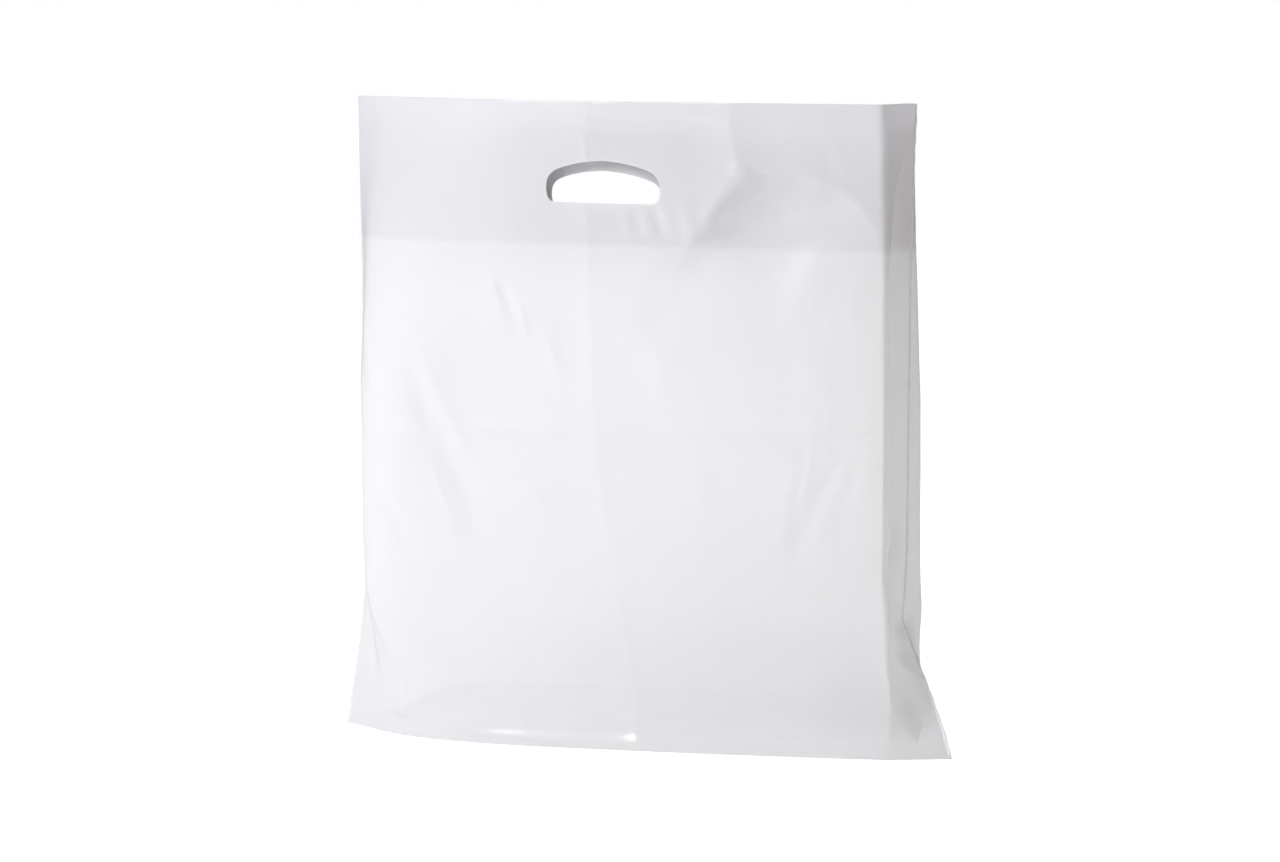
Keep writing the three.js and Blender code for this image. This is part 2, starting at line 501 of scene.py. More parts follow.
FRONT_CREASES: tuple[Crease, ...] = (
    # The fold from packing, once down the middle and once across.
    Crease(
        ((-24, 520), (-25, 455), (-25, 388), (-19, 273), (-13, 212), (6, 88), (12, -20)),
        1.1, 7.0, Form.RIDGE, 0.0,
    ),
    Crease(((-270, 240), (-14, 250), (215, 258)), -0.55, 3.5, Form.RIDGE, 0.05),
    # The gusset's middle fold shows through from behind, and a wedge rises to it from the left ear.
    Crease(((-120, 49), (-60, 50), (40, 51), (114, 49), (150, 46)), 0.9, 3.0, Form.RIDGE, 0.15),
    Crease(((-192, 10), (-175, 26), (-159, 37), (-135, 46), (-105, 50)), 2.6, 7.0, Form.RIDGE, 0.2),
    Crease(((-235, 4), (-210, 9), (-188, 11), (-165, 6)), -2.0, 6.0, Form.SWELL, 0.3),
    # Beside the hand hole the film is knocked in. The hollow lies below an edge that hooks from the right
    # corner round to the hand hole, and a ridge runs on from the hook to the mouth.
    Crease(
        ((209, 384), (198, 407), (185, 425), (169, 437), (138, 449), (112, 451), (92, 441), (75, 425),
         (59, 403), (40, 372), (20, 332)),
        -7.5, 42.0, Form.HOLLOW, 0.38,
    ),
    Crease(((72, 398), (48, 366), (18, 326)), -2.6, 20.0, Form.SWELL, 0.3),
    Crease(((52, 392), (70, 418), (89, 446), (92, 456), (87, 480), (83, 520)), 3.8, 22.0, Form.RIDGE, 0.1),
    Crease(((206, 390), (197, 409), (184, 426), (168, 438), (140, 449)), 1.3, 6.0, Form.RIDGE, 0.25),
    Crease(((86, 449), (94, 452), (104, 446)), 1.8, 4.5, Form.SWELL, 0.3),
    Crease(((60, 402), (78, 405), (92, 415)), 0.8, 5.0, Form.SWELL, 0.3),
    Crease(((150, 500), (166, 470), (176, 440)), 0.8, 7.0, Form.SWELL, 0.3),
    # A lip along the hand hole's lower edge.
    Crease(((-56, 424), (-13, 423), (28, 424)), 0.9, 2.6, Form.SWELL, 0.06),
    # Long soft wrinkles of the left half.
    Crease(((-222, 345), (-208, 300), (-190, 262)), 0.9, 4.5, Form.SWELL, 0.35),
    Crease(((-215, 250), (-196, 205), (-170, 160), (-150, 120)), -0.9, 5.5, Form.SWELL, 0.35),
    Crease(((-108, 372), (-98, 350), (-90, 335)), 0.9, 3.2, Form.SWELL, 0.35),
    Crease(((-82, 348), (-74, 326), (-70, 312)), 1.1, 2.8, Form.SWELL, 0.35),
    Crease(((-150, 225), (-140, 196), (-128, 172)), 0.7, 3.0, Form.SWELL, 0.35),
    Crease(((-70, 230), (-60, 180), (-56, 130)), 0.6, 6.0, Form.SWELL, 0.35),
    Crease(((-205, 470), (-198, 430), (-196, 400)), 0.6, 6.0, Form.SWELL, 0.35),
    Crease(((-185, 325), (-160, 275), (-141, 237), (-118, 190), (-102, 145)), -1.5, 9.0, Form.SWELL, 0.3),
    Crease(((-170, 330), (-146, 280), (-126, 240), (-104, 196)), 0.9, 6.0, Form.SWELL, 0.3),
    Crease(((-98, 362), (-88, 340), (-78, 318)), -1.3, 5.0, Form.SWELL, 0.35),
    Crease(((-60, 330), (-52, 308), (-46, 285)), 1.3, 5.0, Form.SWELL, 0.35),
    Crease(((-136, 178), (-128, 162), (-122, 148)), 1.1, 5.0, Form.RIDGE, 0.35),
    Crease(((-205, 360), (-200, 330), (-190, 300)), 0.8, 6.0, Form.SWELL, 0.35),
    # Long soft wrinkles of the right half.
    Crease(((155, 262), (148, 222), (142, 190)), 0.9, 3.5, Form.SWELL, 0.35),
    Crease(((190, 250), (178, 205), (160, 160)), -0.8, 5.0, Form.SWELL, 0.35),
    Crease(((100, 330), (96, 290), (84, 260)), 0.7, 7.0, Form.SWELL, 0.35),
    Crease(((186, 385), (178, 350), (182, 318)), 0.7, 5.0, Form.SWELL, 0.35),
    Crease(((26, 330), (34, 300), (30, 262)), 0.7, 6.0, Form.SWELL, 0.3),
    Crease(((142, 245), (133, 205), (124, 150)), 1.3, 6.5, Form.SWELL, 0.3),
    Crease(((172, 238), (155, 200), (134, 152)), -1.3, 7.0, Form.SWELL, 0.3),
    Crease(((152, 328), (165, 345), (178, 366)), 1.0, 6.0, Form.SWELL, 0.35),
    Crease(((60, 250), (70, 205), (66, 160)), 0.7, 7.0, Form.SWELL, 0.35),
    Crease(((100, 120), (125, 100), (150, 96)), 0.6, 6.0, Form.SWELL, 0.35),
    # The soft corners tighten into edges where the film runs out to the ears.
    Crease(
        ((-206, 150), (-205, 119), (-204, 99), (-192, 76), (-178, 42), (-188, 10)),
        3.2, 8.0, Form.RIDGE, 0.2,
    ),
    Crease(((-231, 110), (-228, 84), (-222, 58), (-214, 36)), -2.6, 8.0, Form.SWELL, 0.3),
    Crease(((207, 150), (207, 83), (209, 54), (214, 37), (226, 19), (232, 0)), 2.6, 6.0, Form.RIDGE, 0.2),
    Crease(((214, 96), (220, 66), (232, 40), (240, 24)), -2.0, 6.0, Form.SWELL, 0.3),
    Crease(((206, 90), (220, 79), (239, 68), (252, 55)), 2.2, 5.0, Form.RIDGE, 0.2),
    Crease(((213, 114), (210, 100), (207, 86)), 1.4, 4.0, Form.RIDGE, 0.3),
    # A valley runs down the right side in front of the weld.
    Crease(
        ((240, 470), (231, 430), (224, 380), (223, 320), (224, 200), (233, 178), (224, 150), (226, 120),
         (244, 105)),
        -8.0, 8.0, Form.RIDGE, 0.12,
    ),
    # The right corner is sharpest where the turned-over top ends.
    Crease(((205, 500), (206, 440), (205, 392), (206, 330)), 1.2, 4.0, Form.RIDGE, 0.2),
)

FRONT_RIPPLES: tuple[Ripples, ...] = (
    Ripples((26, 490), (50, 13), 80.0, 12.0, 0.6, 0.9),
    Ripples((34, 411), (34, 11), 5.0, 16.5, 0.65, 0.7),
    Ripples((-30, 470), (9, 22), 8.0, 10.0, 0.3, 0.4),
    Ripples((-90, 20), (120, 16), 80.0, 16.0, 0.25, 0.8),
)

BACK_CREASES: tuple[Crease, ...] = (
    Crease(((-18, 520), (-14, 300), (4, 90), (12, -20)), -0.9, 5.0, Form.RIDGE, 0.0),
    Crease(((-215, 250), (0, 252), (215, 248)), 0.6, 3.5, Form.RIDGE, 0.05),
    Crease(((-150, 50), (0, 51), (150, 49)), 0.5, 3.0, Form.RIDGE, 0.15),
    Crease(((30, 300), (-60, 318), (-120, 340), (-190, 400)), -5.0, 30.0, Form.HOLLOW, 0.32),
    Crease(((190, 360), (130, 330), (70, 322), (10, 330)), 2.4, 12.0, Form.SWELL, 0.3),
    Crease(((-205, 150), (-204, 99), (-192, 70), (-186, 30), (-190, 8)), 1.6, 6.0, Form.RIDGE, 0.25),
    Crease(((206, 150), (207, 99), (204, 60), (206, 30), (220, 6)), 1.6, 6.0, Form.RIDGE, 0.25),
    Crease(((-120, 240), (-95, 190), (-70, 120)), 1.4, 8.0, Form.SWELL, 0.3),
    Crease(((90, 230), (110, 170), (140, 110)), -1.5, 8.0, Form.SWELL, 0.3),
    Crease(((30, 200), (20, 150), (35, 100)), 1.0, 7.0, Form.SWELL, 0.3),
    Crease(((-60, 420), (10, 405), (90, 412), (150, 440)), -2.0, 10.0, Form.SWELL, 0.3),
    Crease(((205, 490), (208, 400), (207, 300), (206, 180)), 1.2, 5.0, Form.RIDGE, 0.15),
    Crease(((-232, 420), (-228, 300), (-229, 180)), -3.5, 8.0, Form.RIDGE, 0.25),
)

BACK_RIPPLES: tuple[Ripples, ...] = (
    Ripples((-20, 412), (50, 12), 2.0, 16.0, 0.5, 0.4),
    Ripples((110, 60), (60, 20), 60.0, 18.0, 0.3, 0.6),
)

# The waves of the two panels are read this far apart, so that they differ.
SIDE_APART = {Side.FRONT: 0.0, Side.BACK: 700.0}
FRONT_FEATURES = (*FRONT_CREASES, *FRONT_RIPPLES, BaseTuck())
BACK_FEATURES = (*BACK_CREASES, *BACK_RIPPLES)


# ----------------------------------------------------------------------------------------------------------
# The hand hole
# ----------------------------------------------------------------------------------------------------------


@dataclass(frozen=True)
class HandHole:
    """The hand hole in a panel, flat below and arched above. Sizes are film distances."""

    centre: float = -13.5
    width: float = 91.0
    height: float = 32.0
    below_mouth: float = 44.5
    flat: float = 39.0
    widest: float = 12.0
    end_top: float = 21.0
    shoulder: tuple[float, float] = (37.0, 24.7)
    arch: tuple[float, float] = (22.0, 31.0)
    steps: int = 16

    def outline(self, panel_height: float) -> np.ndarray:
        """The hole's edge as film points, anticlockwise from the middle of its lower edge.

        Args:
            panel_height: The film distance from the bottom fold to the mouth.

        Returns:
            The closed edge's points.
        """
        half = self.width / 2
        curves = (
            ((0, 0), (self.flat / 2, 0), (self.flat, 0)),
            ((self.flat, 0), (half, 0), (half, self.widest)),
            ((half, self.widest), (half, self.end_top), self.shoulder),
            (self.shoulder, self.arch, (0, self.height)),
        )
        t = np.linspace(0, 1, self.steps, endpoint=False)[:, None]
        arcs = []
        for start, pull, end in curves:
            towards = 2 * t * (1 - t) * np.array(pull)
            arcs.append((1 - t) ** 2 * np.array(start) + towards + t**2 * np.array(end))
        right = np.vstack([*arcs, [(0, self.height)]])
        left = right[-2:0:-1] * (-1, 1)
        return np.vstack([right, left]) + (self.centre, panel_height - self.below_mouth - self.height)


def inside_outline(points: np.ndarray, outline: np.ndarray) -> np.ndarray:
    """Which points lie inside a closed outline.

    Args:
        points: An array of plan points, its last axis two long.
        outline: The outline's points in order.

    Returns:
        An array of truth values.
    """
    inside = np.zeros(points.shape[:-1], bool)
    x, y = points[..., 0], points[..., 1]
    for start, end in zip(outline, np.roll(outline, -1, axis=0)):
        crosses = (start[1] > y) != (end[1] > y)
        rise = end[1] - start[1] if end[1] != start[1] else TINY
        inside ^= crosses & (x < (end[0] - start[0]) * (y - start[1]) / rise + start[0])
    return inside


def crossing(start: np.ndarray, end: np.ndarray, outline: np.ndarray) -> np.ndarray:
    """Where a short line crosses a closed outline.

    Args:
        start: One end of the line.
        end: Its other end, on the other side of the outline.
        outline: The outline's points in order.

    Returns:
        The place on the line.
    """
    way, sides = end - start, np.roll(outline, -1, axis=0) - outline
    across = way[0] * sides[:, 1] - way[1] * sides[:, 0]
    across = np.where(np.abs(across) < NEARLY_PARALLEL, NEARLY_PARALLEL, across)
    gap = outline - start
    along = (gap[:, 0] * sides[:, 1] - gap[:, 1] * sides[:, 0]) / across
    beside = (gap[:, 0] * way[1] - gap[:, 1] * way[0]) / across
    met = (beside >= 0) & (beside <= 1) & (along >= 0) & (along <= 1)
    return start + way * (float(along[met].min()) if met.any() else 0.5)


# ----------------------------------------------------------------------------------------------------------
# Making meshes
# ----------------------------------------------------------------------------------------------------------


def new_object(name: str, shape: bmesh.types.BMesh) -> bpy.types.Object:
    """A finished shape as an object in the scene.

    Args:
        name: The object's name.
        shape: The shape, which is used up.

    Returns:
        The new object, at the origin.
    """
    mesh = bpy.data.meshes.new(name)
    shape.to_mesh(mesh)
    shape.free()
    made = bpy.data.objects.new(name, mesh)
    bpy.context.scene.collection.objects.link(made)
    return made


def sheet_mesh(
    name: str, places: np.ndarray, film: np.ndarray, state: np.ndarray, folds: tuple[int, ...] = ()
) -> bpy.types.Object:
    """One sheet of film as an object, its faces outwards.

    Args:
        name: The piece's name.
        places: Rows of points in millimetres.
        film: Rows of the same points' places on the flat film, in millimetres.
        state: For each point, 1 in a hole that is cut out, 0 on its edge and -1 elsewhere.
        folds: The rows along which the film is folded flat.

    Returns:
        The new object, at the origin.
    """
    rows, columns = places.shape[:2]
    shape = bmesh.new()
    bmesh.ops.create_grid(shape, x_segments=columns - 1, y_segments=rows - 1, size=1.0)
    flat = np.array([vertex.co[:2] for vertex in shape.verts])
    column = np.rint((flat[:, 0] + 1) / 2 * (columns - 1)).astype(int)
    row = np.rint((flat[:, 1] + 1) / 2 * (rows - 1)).astype(int)
    shape.verts.index_update()
    uv_layer = shape.loops.layers.uv.new("film")
    for face in shape.faces:
        face.smooth = True
        for loop in face.loops:
            index = loop.vert.index
            loop[uv_layer].uv = film[row[index], column[index]] * MM
    for vertex in shape.verts:
        vertex.co = Vector(places[row[vertex.index], column[vertex.index]] * MM)
    for edge in shape.edges:
        ends = {int(row[vertex.index]) for vertex in edge.verts}
        edge.smooth = len(ends) > 1 or ends.isdisjoint(folds)
    states = {vertex: int(state[row[vertex.index], column[vertex.index]]) for vertex in shape.verts}
    cut_hole(shape, states)
    return new_object(name, shape)


def cut_hole(shape: bmesh.types.BMesh, states: dict[bmesh.types.BMVert, int]) -> None:
    """Cuts the faces of a hole out of a sheet, along the vertices that lie on its edge.

    Args:
        shape: The sheet.
        states: For each vertex, 1 in the hole, 0 on its edge and -1 elsewhere.
    """
    split = [face for face in shape.faces if {states[vertex] for vertex in face.verts} == {-1, 0, 1}]
    for face in split:
        edge_vertices = [vertex for vertex in face.verts if states[vertex] == 0]
        if len(edge_vertices) == 2:
            bmesh.ops.connect_verts(shape, verts=edge_vertices)
    cut = [face for face in shape.faces if max(states[vertex] for vertex in face.verts) == 1]
    bmesh.ops.delete(shape, geom=cut, context="FACES")


def square_to(places: np.ndarray) -> np.ndarray:
    """The direction square to a sheet, on the side that its faces look to.

    Args:
        places: Rows of the sheet's points.

    Returns:
        A direction one long for each point.
    """
    along = np.gradient(places, axis=1)
    up = np.gradient(places, axis=0)
    square = np.cross(along, up)
    return square / np.maximum(np.linalg.norm(square, axis=-1, keepdims=True), TINY)


# ----------------------------------------------------------------------------------------------------------
# Sub-assemblies
# ----------------------------------------------------------------------------------------------------------


@dataclass(frozen=True)
class HemHang:
    """How far the turned-over film hangs off the panel, and where it is held. Sizes are film distances."""

    slack: float = 0.9
    loose_below: float = 40.0
    wave_across: float = 31.0
    wave_up: float = 17.0
    wave_bend: float = 0.6
    bonded_middle: float = 60.0
    bonded_across: float = 130.0
    bonded_up: float = 70.0
    welded_up: float = 5.0
    seam_reach: float = 10.0
    seam_share: float = 0.05


@dataclass
class FilmSheet:
    """The bag's one sheet of film, from the back hem's edge over and round to the front hem's edge."""

    form: BagForm
    hole: HandHole
    hem_depth: float = 110.0
    hang: HemHang = HemHang()
    weld_rise: float = 8.0
    mouth_radius: float = 0.35
    mouth_steps: int = 3
    columns: int = 200
    front_rows: int = 200
    back_rows: int = 112
    hem_rows: int = 36
    gusset_rows: int = 10
    weld_width: float = 1.6
    weld_depth: float = 0.38
    step_width: float = 1.2
    step_height: float = 0.2
    seam_reach: float = 14.0
    fold_reach: float = 12.0
    past_last_cell: float = 1.001
    waves: FilmWaves = field(default_factory=FilmWaves)
    formed: dict[Side, tuple[np.ndarray, np.ndarray, np.ndarray]] = field(default_factory=dict)

    def across(self) -> np.ndarray:
        """Film distances of the grid's columns from the middle."""
        return np.linspace(-self.form.width / 2, self.form.width / 2, self.columns + 1)

    def formed_panel(self, side: Side) -> tuple[np.ndarray, np.ndarray, np.ndarray]:
        """A panel with its creases, dents and waves, on a fine even grid.

        Args:
            side: The panel.

        Returns:
            The grid's film distances across and up, and its points in rows from the bottom fold up.
        """
        if side not in self.formed:
            form = self.form
            across = self.across()
            up = np.linspace(0, form.panel_height, self.front_rows + 1)
            smooth = form.panel(side, across, up)
            grid_across, grid_up = np.meshgrid(across, up)
            rise = self.waves.rise(grid_across + SIDE_APART[side], grid_up)
            for feature in FRONT_FEATURES if side is Side.FRONT else BACK_FEATURES:
                rise = rise + feature.rise(grid_across, grid_up)
            hem_edge = form.panel_height - self.hem_depth
            weld = np.exp(-(((grid_up - hem_edge - self.weld_rise) / self.weld_width) ** 2))
            step = 1 / (1 + np.exp(-(grid_up - hem_edge) / self.step_width))
            rise = rise - self.weld_depth * weld + self.step_height * step
            held = np.clip((form.width / 2 - np.abs(grid_across)) / self.seam_reach, 0.0, 1.0)
            held = held * np.clip(grid_up / self.fold_reach, 0.0, 1.0)
            places = smooth + self.outward(side, smooth) * (rise * held)[..., None]
            self.formed[side] = (across, up, places)
        return self.formed[side]

    def panel_at(self, side: Side, across: np.ndarray, up: np.ndarray) -> np.ndarray:
        """Points of a formed panel.

        Args:
            side: The panel.
            across: Film distances from the middle.
            up: Film distances above the bottom fold.

        Returns:
            The points, one row for each value of up.
        """
        fine_across, fine_up, places = self.formed_panel(side)
        column = (across - fine_across[0]) / (fine_across[1] - fine_across[0])
        column = np.clip(column, 0, len(fine_across) - self.past_last_cell)
        row = (up - fine_up[0]) / (fine_up[1] - fine_up[0])
        row = np.clip(row, 0, len(fine_up) - self.past_last_cell)
        left, low = column.astype(int), row.astype(int)
        right_share, up_share = (column - left)[None, :, None], (row - low)[:, None, None]
        lines = []
        for level in (low, low + 1):
            starts, ends = places[np.ix_(level, left)], places[np.ix_(level, left + 1)]
            lines.append(starts * (1 - right_share) + ends * right_share)
        return lines[0] * (1 - up_share) + lines[1] * up_share

    def hem(self, side: Side, panel: np.ndarray, across: np.ndarray, up: np.ndarray) -> np.ndarray:
        """The turned-over film inside a panel.

        Args:
            side: The panel.
            panel: The panel's own points at the same film places.
            across: Film distances from the middle.
            up: Film distances above the bottom fold, rising.

        Returns:
            Rows of points, from the hem's edge up to the mouth.
        """
        hang = self.hang
        grid_across, grid_up = np.meshgrid(across, up)
        below = self.form.panel_height - grid_up
        bend = hang.wave_bend * np.sin(grid_up / hang.wave_up)
        slack = 0.5 + 0.5 * np.sin(grid_across / hang.wave_across + bend)
        beside = (grid_across - self.hole.centre) / hang.bonded_across
        bonded = np.exp(-(beside**2) - ((below - hang.bonded_middle) / hang.bonded_up) ** 2)
        welded = np.exp(-(((below - self.hem_depth + self.weld_rise) / hang.welded_up) ** 2))
        free = np.clip(below / hang.loose_below, 0.0, 1.0)
        loose = hang.slack * slack * free * (1 - bonded) * (1 - welded)
        from_seam = self.form.width / 2 - np.abs(grid_across)
        seam = np.clip(from_seam / hang.seam_reach, hang.seam_share, 1.0)
        gap = (2 * self.mouth_radius + loose) * seam
        return panel - self.outward(side, panel) * gap[..., None]

    def outward(self, side: Side, panel: np.ndarray) -> np.ndarray:
        """The direction out of the bag at each point of a panel whose rows rise."""
        return square_to(panel) * (1.0 if side is Side.FRONT else -1.0)

    def mouth(self, side: Side, panel: np.ndarray, hem: np.ndarray) -> np.ndarray:
        """The turn of the film over the mouth.

        Args:
            side: The panel; not used.
            panel: The panel's points.
            hem: The hem's points, rows rising as the panel's do.

        Returns:
            Rows of points from the panel over to the hem, without their own last rows.
        """
        outer, inner = panel[-1], hem[-1]
        middle, half = (outer + inner) / 2, (outer - inner) / 2
        up = np.array([0.0, 0.0, 1.0]) * np.linalg.norm(half, axis=1)[:, None]
        turns = np.linspace(0.0, math.pi, self.mouth_steps + 2)[1:-1]
        return np.stack([middle + half * math.cos(turn) + up * math.sin(turn) for turn in turns])

    def build(self) -> bpy.types.Object:
        """The whole sheet as one piece.

        Returns:
            The piece, standing for the CAD body.
        """
        form, across = self.form, self.across()
        up_front = np.linspace(0, form.panel_height, self.front_rows + 1)
        up_back = np.linspace(0, form.panel_height, self.back_rows + 1)
        up_hem = np.linspace(form.panel_height - self.hem_depth, form.panel_height, self.hem_rows + 1)
        out = np.linspace(form.gusset_half, 0, self.gusset_rows + 1)
        front, front_state = self.holed_panel(Side.FRONT, across, up_front)
        back, back_state = self.holed_panel(Side.BACK, across, up_back)
        front_under, front_hem_state = self.holed_panel(Side.FRONT, across, up_hem)
        back_under, back_hem_state = self.holed_panel(Side.BACK, across, up_hem)
        front_hem = self.hem(Side.FRONT, front_under, across, up_hem)
        back_hem = self.hem(Side.BACK, back_under, across, up_hem)
        front_mouth = self.mouth(Side.FRONT, front, front_hem)
        back_mouth = self.mouth(Side.BACK, back, back_hem)
        gusset_back = form.gusset(across, out, Side.BACK)
        gusset_front = form.gusset(across, out[::-1], Side.FRONT)
        hem, panel, half = self.hem_depth, form.panel_height, form.gusset_half
        bands = (
            (back_hem, back_hem_state, up_hem - up_hem[0]),
            (back_mouth[::-1], None, np.full(self.mouth_steps, hem)),
            (back[::-1], back_state[::-1], hem + panel - up_back[::-1]),
            (gusset_back[1:], None, hem + panel + half - out[1:]),
            (gusset_front[1:], None, hem + panel + half + out[::-1][1:]),
            (front[1:], front_state[1:], hem + panel + 2 * half + up_front[1:]),
            (front_mouth, None, np.full(self.mouth_steps, hem + 2 * panel + 2 * half)),
            (front_hem[::-1], front_hem_state[::-1], hem + 2 * panel + 2 * half + panel - up_hem[::-1]),
        )
        places = np.vstack([band[0] for band in bands])
        state = np.vstack([np.full(band[0].shape[:2], -1) if band[1] is None else band[1] for band in bands])
        along = np.concatenate([band[2] for band in bands])
        film = np.stack(np.meshgrid(across, along), -1)
        back_foot = self.hem_rows + self.mouth_steps + self.back_rows + 1
        folds = (back_foot, back_foot + self.gusset_rows, back_foot + 2 * self.gusset_rows)
        LOG.info("film sheet: %d rows by %d columns", places.shape[0] - 1, places.shape[1] - 1)
        piece = sheet_mesh("bag_film", places, film, state, folds)
        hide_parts("bag_body")
        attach(piece, "root")
        return piece

    def holed_panel(self, side: Side, across: np.ndarray, up: np.ndarray) -> tuple[np.ndarray, np.ndarray]:
        """A formed panel whose grid is drawn on to the hand hole's edge.

        Args:
            side: The panel.
            across: Film distances from the middle.
            up: Film distances above the bottom fold, rising.

        Returns:
            The panel's points, and for each point 1 in the hole, 0 on its edge and -1 elsewhere.
        """
        places = self.panel_at(side, across, up)
        film = np.stack(np.meshgrid(across, up), -1)
        outline = self.hole.outline(self.form.panel_height)
        inside = inside_outline(film, outline)
        shift, reached = np.zeros_like(film), np.full(inside.shape, FAR_AWAY)
        for axis in (0, 1):
            first = (slice(None, -1), slice(None)) if axis == 0 else (slice(None), slice(None, -1))
            second = (slice(1, None), slice(None)) if axis == 0 else (slice(None), slice(1, None))
            for row, column in np.argwhere(inside[first] != inside[second]):
                ends = ((row, column), (row + 1, column) if axis == 0 else (row, column + 1))
                meet = crossing(film[ends[0]], film[ends[1]], outline)
                near = min(ends, key=lambda end: float(np.linalg.norm(film[end] - meet)))
                away = float(np.linalg.norm(film[near] - meet))
                if away < reached[near]:
                    reached[near], shift[near] = away, meet - film[near]
        state = np.where(reached < FAR_AWAY, 0, np.where(inside, 1, -1))
        along = np.gradient(places, across, axis=1)
        rising = np.gradient(places, up, axis=0)
        return places + along * shift[..., :1] + rising * shift[..., 1:], state


@dataclass
class HandlePatch:
    """A second layer of film that backs the hand hole, bonded inside the turned-over top."""

    sheet: FilmSheet
    side: Side
    width: float = 150.0
    height: float = 80.0
    below_mouth: float = 21.0
    gap: float = 1.35
    columns: int = 60
    rows: int = 36

    def build(self) -> bpy.types.Object:
        """The patch as one piece, standing for its CAD node.

        Returns:
            The piece.
        """
        centre = self.sheet.hole.centre
        top = self.sheet.form.panel_height - self.below_mouth
        across = np.linspace(centre - self.width / 2, centre + self.width / 2, self.columns + 1)
        up = np.linspace(top - self.height, top, self.rows + 1)
        panel, state = self.sheet.holed_panel(self.side, across, up)
        places = panel - self.sheet.outward(self.side, panel) * self.gap
        film = np.stack(np.meshgrid(across - across[0], up - up[0]), -1)
        if self.side is Side.BACK:
            places, film, state = places[:, ::-1], film[:, ::-1], state[:, ::-1]
        name = f"{self.side.value}_patch_film"
        piece = sheet_mesh(name, places, film, state)
        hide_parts(f"{self.side.value}_handle_patch")
        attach(piece, "root")
        LOG.info("%s: %.0f by %.0f mm", name, self.width, self.height)
        return piece


@dataclass
class SideWeld:
    """The melted edge where the layers are cut and joined down one side, a thin fin with a rounded rim."""

    form: BagForm
    right: bool
    reach: float = 1.3
    thickness: float = 0.5
    around: int = 8
    steps: int = 130
    foot: float = 0.4
    melt: tuple[float, float] = (0.18, 0.1)
    melt_turns: tuple[float, float] = (1.7, 0.61)

    def build(self) -> bpy.types.Object:
        """The weld as one closed piece along the seam.

        Returns:
            The piece.
        """
        shape = bmesh.new()
        heights = np.linspace(self.foot, self.form.mouth_height, self.steps + 1)
        path = [self.form.seam(self.right, height) for height in heights]
        rings = []
        for index, point in enumerate(path):
            ring = bmesh.ops.create_circle(shape, cap_ends=False, radius=1.0, segments=self.around)["verts"]
            quick, slow = (math.sin(index * turn) for turn in self.melt_turns)
            melt = 1.0 + self.melt[0] * quick + self.melt[1] * slow
            for vertex in ring:
                x = point[0] + vertex.co.x * self.reach * melt
                y = point[1] + vertex.co.y * self.thickness
                vertex.co = Vector((x, y, point[2])) * MM
            rings.append(ring)
        for lower, upper in zip(rings[:-1], rings[1:]):
            for index in range(self.around):
                following = (index + 1) % self.around
                shape.faces.new((lower[index], lower[following], upper[following], upper[index]))
        shape.faces.new(list(reversed(rings[0])))
        shape.faces.new(rings[-1])
        bmesh.ops.recalc_face_normals(shape, faces=shape.faces)
        for face in shape.faces:
            face.smooth = True
        name = f"{'right' if self.right else 'left'}_side_weld"
        piece = new_object(name, shape)
        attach(piece, "root")
        LOG.info("%s: %.0f mm long, from x %.0f", name, heights[-1], path[0][0])
        return piece


# ----------------------------------------------------------------------------------------------------------
# Finishes
# ----------------------------------------------------------------------------------------------------------


@dataclass(frozen=True)
class FilmPattern:
    """A noise pattern on the film: its repeats in a metre, across and along, and its finer detail."""

    across: float
    along: float
    detail: float = 1.0


